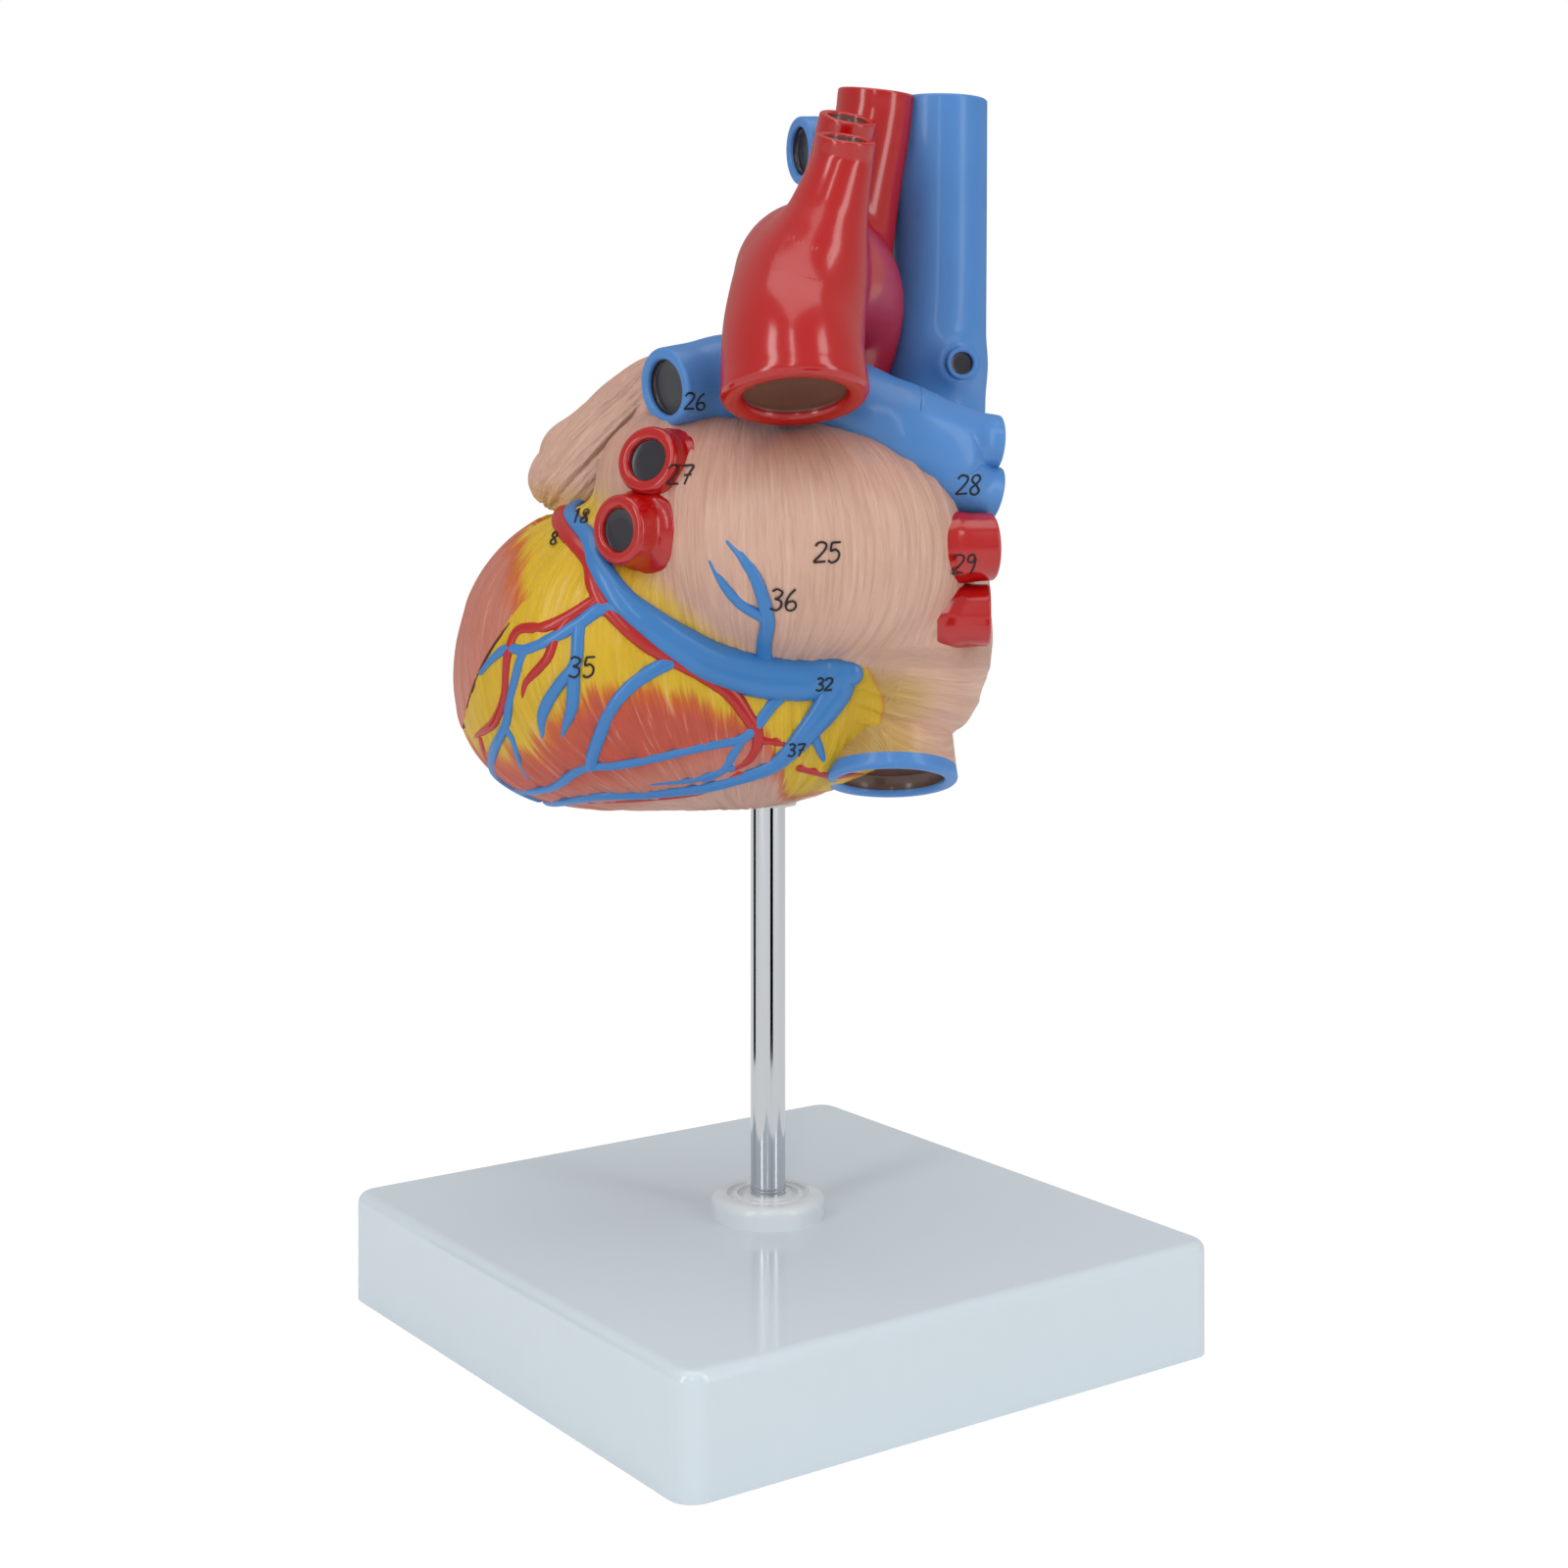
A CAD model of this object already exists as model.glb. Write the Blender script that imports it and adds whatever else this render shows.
import math

import bpy
import numpy as np
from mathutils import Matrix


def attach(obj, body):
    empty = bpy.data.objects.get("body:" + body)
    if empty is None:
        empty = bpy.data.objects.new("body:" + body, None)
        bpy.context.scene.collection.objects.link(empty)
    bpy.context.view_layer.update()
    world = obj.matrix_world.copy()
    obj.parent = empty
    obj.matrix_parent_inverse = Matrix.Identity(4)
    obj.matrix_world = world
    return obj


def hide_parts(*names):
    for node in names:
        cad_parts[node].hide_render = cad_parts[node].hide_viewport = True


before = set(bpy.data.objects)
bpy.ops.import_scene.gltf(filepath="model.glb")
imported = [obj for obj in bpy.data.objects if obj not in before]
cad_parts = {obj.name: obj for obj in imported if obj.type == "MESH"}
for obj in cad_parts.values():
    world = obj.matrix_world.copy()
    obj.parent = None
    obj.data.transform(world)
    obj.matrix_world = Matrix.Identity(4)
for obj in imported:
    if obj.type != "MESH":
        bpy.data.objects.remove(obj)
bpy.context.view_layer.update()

bl_info = {
    "name": "Heart Anatomy Model",
    "version": (1, 0, 0),
    "blender": (4, 5, 0),
    "location": "View3D > Sidebar > Heart",
    "description": "Painted muscle, vessels, stand and studio of a heart that opens in two",
    "category": "Object",
}

# The heart is laid out in its own axes, in millimetres: a runs towards the apex, b towards the
# heart's back and c up from the flat underside that the rod enters. to_frame() turns and lifts
# those axes onto the stand and gives metres.
MM = 0.001
AXIS_TURN = math.radians(-35.33)
HEART_LIFT = 119.0

# ---- muscle mass: lobes (centre, radii, blend with the rest) ----
VENTRICLES = (
    ((34.0, 4.0, 36.0), (36.0, 35.0, 34.0), 10.0),      # left ventricle
    ((46.0, 0.0, 23.0), (23.0, 23.0, 21.0), 10.0),      # apex
    ((5.0, -20.0, 30.0), (44.0, 29.0, 29.0), 12.0),     # right ventricle
    ((8.0, 3.0, 26.0), (42.0, 27.0, 26.0), 12.0),       # inferior wall
)
ROOTS = (
    ((20.0, -22.0, 66.0), (15.0, 15.0, 18.0), 8.0),     # outflow of the right ventricle
    ((2.0, 0.0, 63.0), (26.0, 24.0, 16.0), 8.0),        # root of the great vessels
)
RIGHT_ATRIUM = ((-25.0, -6.0, 47.0), (26.0, 30.0, 34.0), 9.0)
# The solid halves have a plain left atrium and neck of the inferior vena cava; the painted skin
# has a fuller shoulder and corner, and a neck that clears the cut end.
SOLID_LOBES = VENTRICLES + (
    ((-12.0, 22.0, 60.0), (33.0, 27.0, 26.0), 7.0),
    RIGHT_ATRIUM,
    ((-26.5, 11.0, 31.0), (15.0, 15.0, 25.0), 8.0),
) + ROOTS
LOBES = VENTRICLES + (
    ((-8.0, 22.0, 61.0), (35.0, 27.0, 26.0), 7.0),      # left atrium
    ((17.0, 14.0, 75.0), (21.0, 21.0, 17.0), 8.0),      # its left shoulder
    ((-24.0, 20.0, 53.0), (18.0, 18.0, 17.0), 7.0),     # its lower right corner
    RIGHT_ATRIUM,
    ((-30.0, 11.0, 36.0), (19.5, 17.0, 23.0), 8.0),     # neck of the inferior vena cava
) + ROOTS
# Longitudes and latitudes of the skin are seen from here, and all of it lies nearer than FARTHEST.
CAST_CENTRE = np.array([5.0, 0.0, 42.0])
FARTHEST = 95.0

# ---- parting plane between the heart and its front wall ----
PARTING_BEARING = math.radians(103.7)
PARTING_TILT = math.radians(26.1)
PARTING_POINT = np.array([0.0, 0.0, 65.6])
PARTING_GAP = 0.2
# The front wall leaves room for the root of the great vessels. Seen square to the parting plane, as
# millimetres right of and above PARTING_POINT, that is a slot with a round foot (middle, height of
# the foot's centre, half width) and a step by the superior vena cava (left, right, foot, depth).
NOTCH = (4.5, 5.0, 25.0)
CAVAL_STEP = (-50.0, -18.0, -8.0, 16.0)
BACKWARD = np.array([math.cos(PARTING_TILT) * math.cos(PARTING_BEARING),
                     math.cos(PARTING_TILT) * math.sin(PARTING_BEARING), -math.sin(PARTING_TILT)])
RIGHTWARD = np.array([math.sin(PARTING_BEARING), -math.cos(PARTING_BEARING), 0.0])
UPWARD = np.cross(RIGHTWARD, BACKWARD)

# ---- great vessels: stations (a, b, c, radius) from root to cut end ----
AORTA = ((-4, -8, 62, 12.8), (-9, -9, 87, 13.2), (-15, -5.5, 103, 13.8), (-16.5, 3, 115, 14.5),
         (-10.5, 17, 120, 16.5), (-6.5, 32, 115.5, 14.2), (-5.5, 42.5, 104, 15),
         (-6, 47.5, 92, 15.75))
SUBCLAVIAN = ((-6.5, 38, 106, 13.5), (-9.5, 36, 119, 12), (-13, 34, 131, 8.8), (-16, 33, 142, 6.8),
              (-17, 34.5, 148, 6.5))
CAROTID = ((-11, 8, 120, 10), (-15.5, 12.5, 143, 7), (-18, 16.5, 155, 6.5))
BRACHIOCEPHALIC = ((-15, -2, 110, 12), (-20, -5, 137, 10), (-24, -5.5, 156, 9),
                   (-25, -5, 164, 8.85))
CAVA = ((-33, -12, 60, 11.5), (-37.5, -10.5, 84, 12.5), (-38.5, -11, 100, 12.3),
        (-39.8, -12, 120, 11.3), (-40.3, -12, 163, 11))
AZYGOS = ((-41, -8, 101, 8), (-42.5, -3, 101, 5.6), (-44, 1.6, 101, 3.9), (-44.5, 3.8, 101, 3.7))
LEFT_CAVAL_BRANCH = ((-36, -15, 144, 8.6), (-26, -24.5, 149, 8.3), (-15, -26.5, 153, 8.25),
                     (-7, -24, 153, 8.25))
PULMONARY_TRUNK = ((19, -17, 64, 11.5), (16, -11.5, 86, 10.8), (13, 4, 96, 10), (9, 18, 96.5, 9))
PULMONARY_ARCH = ((22.5, 29, 94.5, 8.75), (12.5, 21.5, 96, 9.2), (-0.5, 18, 95.5, 10),
                  (-15.5, 18.5, 91, 11), (-30, 20.5, 83.5, 11), (-40, 20, 79.5, 9.5),
                  (-45.5, 19, 78, 5.2), (-48, 18.6, 77.3, 1.5))
PULMONARY_UPPER = ((-31, 21.5, 86, 8), (-41, 20, 83.6, 6.9), (-51, 18, 82.7, 6.1))
PULMONARY_LOWER = ((-31, 21.5, 80, 8.5), (-41, 20, 73.6, 7.2), (-50.5, 18, 71.2, 6.1))
PULMONARY_VEINS = {
    "pulmonary_vein_left_upper": ((11, 24, 73, 9.5), (21.5, 29, 77, 8), (26, 35.5, 79, 7.4)),
    "pulmonary_vein_left_lower": ((13, 25, 62, 10), (26, 31, 63.5, 8.4), (32.2, 37, 63.8, 7.6)),
    "pulmonary_vein_right_upper": ((-26, 25, 59, 8), (-38, 27, 59.6, 7.7), (-49, 25, 59.8, 7.4)),
    "pulmonary_vein_right_lower": ((-34, 23.6, 44.8, 6.9), (-41, 24.2, 44.8, 6.9),
                                   (-48.5, 24.5, 44.8, 6.8)),
}
INFERIOR_CAVA = ((-27.5, 10, 20, 13.8), (-27.5, 12.5, 13.5, 14.4), (-27.5, 15, 7, 15))
# How far from its cut end a vessel keeps its own paint, where the muscle's paint runs up onto it.
CAVAL_BAND = 1.8
RIGHT_VEIN_PAINT = 10.6

# ---- auricles: beads (a, b, c, radius) that blend into one pouch ----
LEFT_AURICLE = ((24, -1, 95, 8.5), (30, -3, 89, 10.5), (36, -4, 83, 11.5), (42, -5, 77.5, 10),
                (49, -6, 74.5, 6.8), (46, -9, 80, 7.5), (43.5, 0, 72.5, 6.5))
RIGHT_AURICLE = ((-18, -25, 67, 10), (-26, -27, 66, 11.5), (-35, -27, 65, 9.5), (-38, -30, 62, 6),
                 (-33, -34, 70.5, 6.5), (-23, -36, 73, 6.5), (-14, -36, 68, 5.5))

# ---- relief vessels: (longitude, latitude, radius) from CAST_CENTRE ----
BACK_VEINS = (
    ((6, 36, 1.3), (20, 31, 1.7), (37, 25, 2.2), (47, 16, 2.7), (55, 8, 3.1), (61, 3, 3.5),
     (69, -4, 4.1), (80, -12, 4.6), (96, -18, 4.9), (112, -19.5, 5.0), (121, -18, 4.9),
     (126.5, -16.5, 4.6), (129.5, -15, 3.4)),
    ((127, -17.5, 4.4), (126.8, -22.5, 4.0), (123, -29.5, 3.3), (117, -36.5, 2.7),
     (111.5, -43, 2.3), (103, -50, 1.9), (88, -54, 1.7), (68, -55, 1.6), (46, -50, 1.5),
     (30, -44, 1.5), (7, -42, 1.4)),
    ((98, -13, 1.9), (98, -10, 1.8), (97, -3, 1.6), (97, 4, 1.6), (94, 13, 1.4), (90, 19, 1.1),
     (86, 23, 0.4)),
    ((97, 4, 1.4), (90, 8, 1.4), (85, 13, 1.1), (81, 19, 0.4)),
    ((58, 5, 1.9), (51, 6, 1.7), (47, 2, 1.5), (41, -2, 1.3), (36, -4, 1.2), (31, -4, 1.1),
     (23, -9, 0.5)),
    ((36, -4, 1.2), (33, -11, 1.1), (30, -16, 1.1), (27, -20, 1.1), (21, -24, 1.2), (14, -28, 1.2),
     (6, -33, 1.2), (7, -40, 1.2)),
    ((27, -20, 1.0), (27, -24, 0.9), (22, -33, 0.4)),
    ((47, 2, 1.5), (47, -7, 1.4), (43, -12, 1.3), (38, -18, 1.3), (35, -24, 0.4)),
    ((47, -7, 1.4), (45, -17, 1.4), (40, -24, 0.4)),
    ((73, -6, 1.9), (61, -12, 1.6), (54, -18, 1.4), (48, -26, 1.4), (41, -34, 1.4)),
    ((7, -36, 1.2), (25, -37, 1.2), (39, -34, 1.2), (49, -36, 1.2), (67, -38, 1.1), (87, -39, 1.1),
     (94, -36, 1.3), (101, -29, 1.4), (107, -24, 1.6)),
    ((89, -39, 1.1), (80, -49, 1.0), (70, -52, 0.5)),
    ((119, -37, 1.3), (124, -42, 1.0), (128, -46, 0.6)),
    ((84, -49, 0.9), (66, -50, 0.8), (50, -46, 0.4)),
)
BACK_ARTERIES = (
    ((14, 31, 1.8), (34, 23, 1.8), (43, 18, 1.7), (47, 12, 1.7), (50, 8, 1.7), (54, 4, 1.7),
     (61, -3, 1.8), (67, -8, 1.9), (75, -14, 1.9), (85, -23, 1.8), (91, -31, 1.6), (96, -39, 1.3),
     (92, -47, 0.9), (80, -51, 0.4)),
    ((50, 9, 1.5), (45, 4, 1.3), (40, 1, 1.3), (34, 0, 1.2), (32, -5, 1.2), (30, -13, 1.1),
     (24, -19, 1.1), (14, -22, 0.6)),
    ((46, 5, 1.2), (43, 0, 1.2), (41, -6, 1.1), (36, -11, 0.9), (34, -15, 0.3)),
    ((98, -40, 1.1), (106, -41, 0.9), (109, -43, 0.4)),
    ((17, -22, 0.9), (12, -30, 0.9), (12, -37, 0.5)),
    ((88, -52, 0.9), (66, -57, 0.9), (44, -53, 0.8), (24, -46, 0.5)),
    ((118, -50, 1.0), (140, -52, 1.0), (160, -50, 0.5)),
)
FRONT_ARTERIES = (
    ((-24, 26, 2.4), (-33, 14, 2.2), (-36, 0, 2.0), (-32, -16, 1.8), (-20, -29, 1.5),
     (-4, -37, 1.0)),
    ((-34, 8, 1.5), (-20, 2, 1.4), (-6, -10, 1.2), (6, -20, 0.6)),
    ((-35, -4, 1.4), (-46, -12, 1.2), (-50, -24, 0.6)),
    ((-96, 21, 2.5), (-106, 18, 2.4), (-118, 12, 2.3), (-129, 2, 2.1), (-136, -14, 2.0),
     (-141, -30, 1.6)),
    ((-133, -4, 1.6), (-116, -18, 1.4), (-92, -32, 1.2), (-66, -38, 0.6)),
    ((-112, 14, 1.4), (-104, 2, 1.2), (-92, -8, 0.6)),
)
FRONT_VEINS = (
    ((-12, 24, 2.1), (-24, 12, 2.0), (-28, 0, 1.9), (-26, -15, 1.7), (-16, -27, 1.5),
     (-2, -34, 0.9)),
    ((-28, 2, 1.4), (-12, -6, 1.2), (0, -16, 0.6)),
    ((-27, -8, 1.3), (-40, -22, 1.1), (-44, -34, 0.6)),
    ((-141, -20, 1.6), (-126, -26, 1.5), (-104, -38, 1.3), (-80, -45, 0.6)),
)

# ---- key numbers: the pen strokes of each digit in a box 0.6 wide and 1 high ----
STROKES = {
    "1": (((.12, .82), (.3, 1), (.28, 0)),),
    "2": (((0, .8), (.1, .95), (.3, 1), (.5, .9), (.5, .7), (.3, .4), (0, .05), (.2, .03),
          (.55, .06)),),
    "3": (((.05, .9), (.25, 1), (.5, .85), (.38, .62), (.2, .54), (.45, .45), (.5, .2), (.3, 0),
          (0, .1)),),
    "5": (((.1, .97), (.08, .58), (.3, .64), (.5, .45), (.45, .15), (.2, 0), (0, .1)), ((.1, .97),
          (.52, 1))),
    "6": (((.4, 1), (.15, .7), (.02, .35), (.1, .05), (.35, 0), (.5, .2), (.4, .42), (.15, .4),
          (.05, .25)),),
    "7": (((0, .95), (.55, .97), (.35, .5), (.2, 0)), ((.12, .48), (.5, .52))),
    "8": (((.3, .52), (.08, .7), (.15, .95), (.38, 1), (.5, .8), (.3, .52), (.05, .3), (.1, .05),
          (.35, 0), (.5, .2), (.3, .52)),),
    "9": (((.45, .8), (.3, 1), (.08, .9), (.08, .65), (.3, .6), (.45, .8), (.42, .4), (.3, 0)),),
}
# Each number's text, its middle (a, c) and its height; the strokes drop onto the heart from behind.
KEY_NUMBERS = (("25", -12.7, 59.4, 4.3), ("36", -3.6, 49.3, 4.6), ("35", 39.5, 34.6, 4.4),
               ("26", 15.5, 91.4, 3.5), ("27", 18.6, 75.6, 4.2), ("28", -43.9, 73.4, 4.2),
               ("29", -42.6, 56.3, 4.2), ("32", -12.4, 30.1, 2.8), ("18", 41.3, 66.5, 2.8),
               ("8", 46.0, 61.7, 2.6), ("37", -6.3, 15.6, 2.8))


# ---------------------------------------------------------------- directions and noise
def to_frame(points):
    """Heart millimetres to frame metres: a turn about c, then the lift onto the rod."""
    a, b, c = np.moveaxis(np.asarray(points, float), -1, 0)
    cos, sin = math.cos(AXIS_TURN), math.sin(AXIS_TURN)
    return np.stack([a * cos - b * sin, a * sin + b * cos, c + HEART_LIFT], -1) * MM


def from_frame(points):
    """Frame metres back to heart millimetres."""
    x, y, z = np.moveaxis(np.asarray(points, float) / MM, -1, 0)
    cos, sin = math.cos(AXIS_TURN), math.sin(AXIS_TURN)
    return np.stack([x * cos + y * sin, y * cos - x * sin, z - HEART_LIFT], -1)


def unit(vectors):
    return vectors / (np.linalg.norm(vectors, axis=-1, keepdims=True) + 1e-12)


def bearing(lon, lat):
    """The unit vector at a longitude and latitude in degrees."""
    lon, lat = np.radians(lon), np.radians(lat)
    return np.stack([np.cos(lat) * np.cos(lon), np.cos(lat) * np.sin(lon), np.sin(lat)], -1)


def angles(ray):
    """The longitude, from -180 to 180, and the latitude of unit vectors in degrees."""
    return (np.degrees(np.arctan2(ray[..., 1], ray[..., 0])),
            np.degrees(np.arcsin(np.clip(ray[..., 2], -1, 1))))


def circle(count):
    """Angles once round, in even steps."""
    return np.linspace(0, 2 * math.pi, count, endpoint=False)


def smooth(values, low, high):
    """0 below low, 1 above high and 3t^2 - 2t^3 between them."""
    t = np.clip((values - low) / (high - low), 0.0, 1.0)
    return t * t * (3 - 2 * t)


def lattice(i, j):
    """A repeatable random number from 0 to 1 for each whole pair."""
    return np.modf(np.abs(np.sin(i * 127.1 + j * 311.7) * 43758.5453))[0]


def value_noise(u, v):
    """Random numbers at whole (u, v), joined by smooth steps, from -1 to 1."""
    i, j = np.floor(u), np.floor(v)
    s, t = smooth(u - i, 0, 1), smooth(v - j, 0, 1)
    low = lattice(i, j) * (1 - s) + lattice(i + 1, j) * s
    high = lattice(i, j + 1) * (1 - s) + lattice(i + 1, j + 1) * s
    return (low * (1 - t) + high * t) * 2 - 1


# ---------------------------------------------------------------- surfaces as distances
def blended(first, second, blend):
    """The smooth minimum: the lower value, less blend * s * (1 - s) where the two are near."""
    share = np.clip(0.5 + 0.5 * (second - first) / blend, 0.0, 1.0)
    return second * (1 - share) + first * share - blend * share * (1 - share)


def muscle_distance(points, lobes=LOBES):
    """For each lobe k0 (k0 - 1) / k1, with k0 = |q / r| and k1 = |q / r^2|, blended in turn."""
    total = None
    for centre, radii, blend in lobes:
        q = points - np.array(centre)
        near = np.linalg.norm(q / np.array(radii), axis=-1)
        steep = np.linalg.norm(q / np.array(radii) ** 2, axis=-1) + 1e-9
        lobe = near * (near - 1) / steep
        total = lobe if total is None else blended(total, lobe, blend)
    return total


def outward(distance, points, step=0.05):
    """The unit gradient of a distance by central differences."""
    gradient = [distance(points + shift) - distance(points - shift) for shift in np.eye(3) * step]
    return unit(np.stack(gradient, -1))


def cast(distance, centre, directions, farthest=FARTHEST, step=1.5):
    """How far out along each direction the surface lies: steps inwards, then halves the span."""
    flat = directions.reshape(-1, 3)
    outer = np.full(len(flat), farthest)
    live = np.arange(len(flat))
    while len(live):
        inside = distance(centre + flat[live] * (outer[live] - step)[:, None]) <= 0
        live = live[~inside & (outer[live] > 2 * step)]
        outer[live] -= step
    inner = outer - step
    for _ in range(12):
        middle = 0.5 * (inner + outer)
        out = distance(centre + flat * middle[:, None]) > 0
        outer = np.where(out, middle, outer)
        inner = np.where(out, inner, middle)
    return (0.5 * (inner + outer)).reshape(directions.shape[:-1])


# The skin's radius at every TABLE_STEP degrees of longitude and latitude.
TABLE_STEP = 1.5
TABLE = cast(muscle_distance, CAST_CENTRE,
             bearing(*np.meshgrid(np.arange(0, 360, TABLE_STEP), np.arange(-90, 90.1, TABLE_STEP))))


def skin_radius(lon, lat):
    """The surface's distance from CAST_CENTRE: the table between its entries, then two Newton
    steps along the ray."""
    u, v = np.mod(lon, 360) / TABLE_STEP, (np.clip(lat, -89.99, 89.99) + 90) / TABLE_STEP
    i, j = np.floor(u).astype(int), np.floor(v).astype(int)
    s, t = u - i, v - j
    columns = TABLE.shape[1]
    i, k = i % columns, (i + 1) % columns
    radius = ((TABLE[j, i] * (1 - s) + TABLE[j, k] * s) * (1 - t)
              + (TABLE[j + 1, i] * (1 - s) + TABLE[j + 1, k] * s) * t)
    ray = bearing(lon, lat)
    for _ in range(2):
        here = muscle_distance(CAST_CENTRE + ray * radius[..., None])
        beyond = muscle_distance(CAST_CENTRE + ray * (radius + 0.1)[..., None])
        slope = np.maximum((beyond - here) / 0.1, 0.3)
        radius = radius - np.clip(here / slope, -0.4, 0.4)
    return radius


def skin(lon, lat, rise=0.0):
    """Points of the muscle's surface, raised along its normal and kept above the flat underside."""
    points = CAST_CENTRE + bearing(lon, lat) * skin_radius(lon, lat)[..., None]
    points = points + outward(muscle_distance, points) * np.asarray(rise)[..., None]
    points[..., 2] = np.maximum(points[..., 2], np.minimum(0.0, -np.asarray(rise) * 0.5))
    return points


def bearings_of(points):
    """The longitude, from -90 to 270, and the latitude of points as seen from CAST_CENTRE."""
    lon, lat = angles(unit(points - CAST_CENTRE))
    return np.where(lon < -90, lon + 360, lon), lat


def through(points, spacing):
    """A Catmull-Rom curve through the points, in steps of about the spacing along each span."""
    points = np.asarray(points, float)
    padded = np.vstack([2 * points[0] - points[1], points, 2 * points[-1] - points[-2]])
    spans = []
    for k in range(len(points) - 1):
        p0, p1, p2, p3 = padded[k:k + 4]
        count = max(int(np.linalg.norm((p2 - p1)[:3]) / spacing), 2)
        t = (np.arange(count) / count)[:, None]
        spans.append(0.5 * (2 * p1 + (p2 - p0) * t + (2 * p0 - 5 * p1 + 4 * p2 - p3) * t ** 2
                            + (3 * p1 - p0 - 3 * p2 + p3) * t ** 3))
    return np.vstack(spans + [points[-1:]])


def tube_distance(points, beads):
    """The distance to the nearest of a row of spheres along a path."""
    flat = points.reshape(-1, 3)
    out = np.empty(len(flat))
    for start in range(0, len(flat), 4000):
        gap = flat[start:start + 4000, None] - beads[None, :, :3]
        out[start:start + 4000] = (np.linalg.norm(gap, axis=-1) - beads[None, :, 3]).min(1)
    return out.reshape(points.shape[:-1])


def swollen(points, normals, distance, most):
    """Points moved out along their normals until the blended distance is zero, by most at most."""
    move = np.zeros(points.shape[:-1])
    for _ in range(5):
        move = np.clip(move - distance(points + normals * move[..., None]), 0.0, most)
    return points + normals * move[..., None]


# ---------------------------------------------------------------- meshes
def shell(grid, material=0):
    """Vertices, quads, end triangles and the material number of each, for a closed-round grid of
    points (rows, columns, 3), its first and last rows closed onto their middles. material is one
    number, or one for each band of rows."""
    rows, columns = grid.shape[:2]
    row, column = np.meshgrid(np.arange(rows - 1), np.arange(columns), indexing="ij")
    beside = (column + 1) % columns
    quads = np.stack([row * columns + column, row * columns + beside,
                      (row + 1) * columns + beside, (row + 1) * columns + column], -1)
    quads = quads.reshape(-1, 4)
    bands = np.repeat(np.broadcast_to(material, rows - 1), columns)
    vertices = np.vstack([grid.reshape(-1, 3), grid[0].mean(0), grid[-1].mean(0)])
    first_hub, last_hub = (np.full(columns, len(vertices) - back) for back in (2, 1))
    here, last = np.arange(columns), (rows - 1) * columns
    after = (here + 1) % columns
    fans = np.vstack([np.stack([after, here, first_hub], -1),
                      np.stack([last + here, last + after, last_hub], -1)])
    fan_bands = np.repeat([bands[0], bands[-1]], columns)
    corners = vertices[quads]
    volume = sum((corners[:, 0] * np.cross(corners[:, k], corners[:, k + 1])).sum() for k in (1, 2))
    if volume < 0:
        quads, fans = quads[:, ::-1], fans[:, ::-1]
    return vertices, quads, fans, bands, fan_bands


def joined(shells):
    """Several shells as one mesh: each one's faces count on from the vertices before it."""
    vertices, quads, fans, bands, fan_bands = zip(*shells)
    starts = np.cumsum([0] + [len(points) for points in vertices])
    return (np.vstack(vertices), np.vstack([faces + start for faces, start in zip(quads, starts)]),
            np.vstack([faces + start for faces, start in zip(fans, starts)]),
            np.concatenate(bands), np.concatenate(fan_bands))


def place_piece(name, mesh, body, replaced=()):
    """A mesh that is already in place in the frame, as an object riding on its body."""
    piece = bpy.data.objects.new(name, mesh)
    bpy.context.scene.collection.objects.link(piece)
    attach(piece, body)
    if replaced:
        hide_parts(*replaced)
    return piece


def make_piece(name, mesh_data, materials, body, replaced=(), attributes=None):
    """One smooth object from a shell, with its paints and what they follow."""
    vertices, quads, fans, bands, fan_bands = mesh_data
    mesh = bpy.data.meshes.new(name)
    mesh.from_pydata(to_frame(vertices).tolist(), [], quads.tolist() + fans.tolist())
    mesh.polygons.foreach_set("use_smooth", np.ones(len(mesh.polygons), bool))
    mesh.polygons.foreach_set("material_index", np.concatenate([bands, fan_bands]).astype(np.int32))
    for material in materials:
        mesh.materials.append(PAINTS[material])
    for label, values in (attributes or {}).items():
        width = 1 if values.ndim == 1 else values.shape[1]
        kind, key = {1: ("FLOAT", "value"), 3: ("FLOAT_VECTOR", "vector"),
                     4: ("FLOAT_COLOR", "color")}[width]
        layer = mesh.attributes.new(label, kind, "POINT")
        layer.data.foreach_set(key, values.astype(np.float32).ravel())
    mesh.update()
    return place_piece(name, mesh, body, replaced)


def tube_frames(path):
    """The direction of a path, and two sides square to it: the one from the direction that the
    path runs least along, so that the rings never flip."""
    along = unit(np.gradient(path[:, :3], axis=0))
    least = np.linalg.svd(along)[2][-1]
    side = unit(least - along * (along @ least)[:, None])
    return along, side, np.cross(along, side)


# How round the lip of a cut end is: a thick soft one, or a thin crisp one.
LIPS = {"soft": 2.6, "crisp": 0.8, "round": 0.8}
LIP_SHARES = {"soft": 0.42, "crisp": 0.25}


def ring_profile(radius, style, wall, recess):
    """How a cut end goes on from the wall: (how far past the last ring, radius, in the lumen)."""
    turns = np.radians(np.linspace(12, 90, 6))
    if style == "round":
        dome = [(radius * math.sin(t), radius * math.cos(t), 0) for t in turns[:-1]]
        return dome + [(radius, 0.02, 0)]
    inner = radius * (1 - wall)
    lip = min(LIPS[style], LIP_SHARES[style] * (radius - inner))
    rows = [(lip * math.sin(t), radius - lip * (1 - math.cos(t)), 0) for t in turns]
    rows += [(lip - lip * (1 - math.cos(t)) * 0.8, inner + lip * (1 - math.sin(t)), 0)
             for t in turns]
    rows += [(lip - lip * 0.8 - 0.25, inner - 0.05, 0), (lip - recess, inner - 0.1, 1),
             (lip - recess - 0.1, inner - 0.35, 1), (lip - recess - 0.1, inner * 0.5, 1)]
    return rows


KEPT_END = 2.0      # how near its cut end a tube stays round
BLEND_RUN = 5.0     # and how much further on it swells in full


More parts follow.
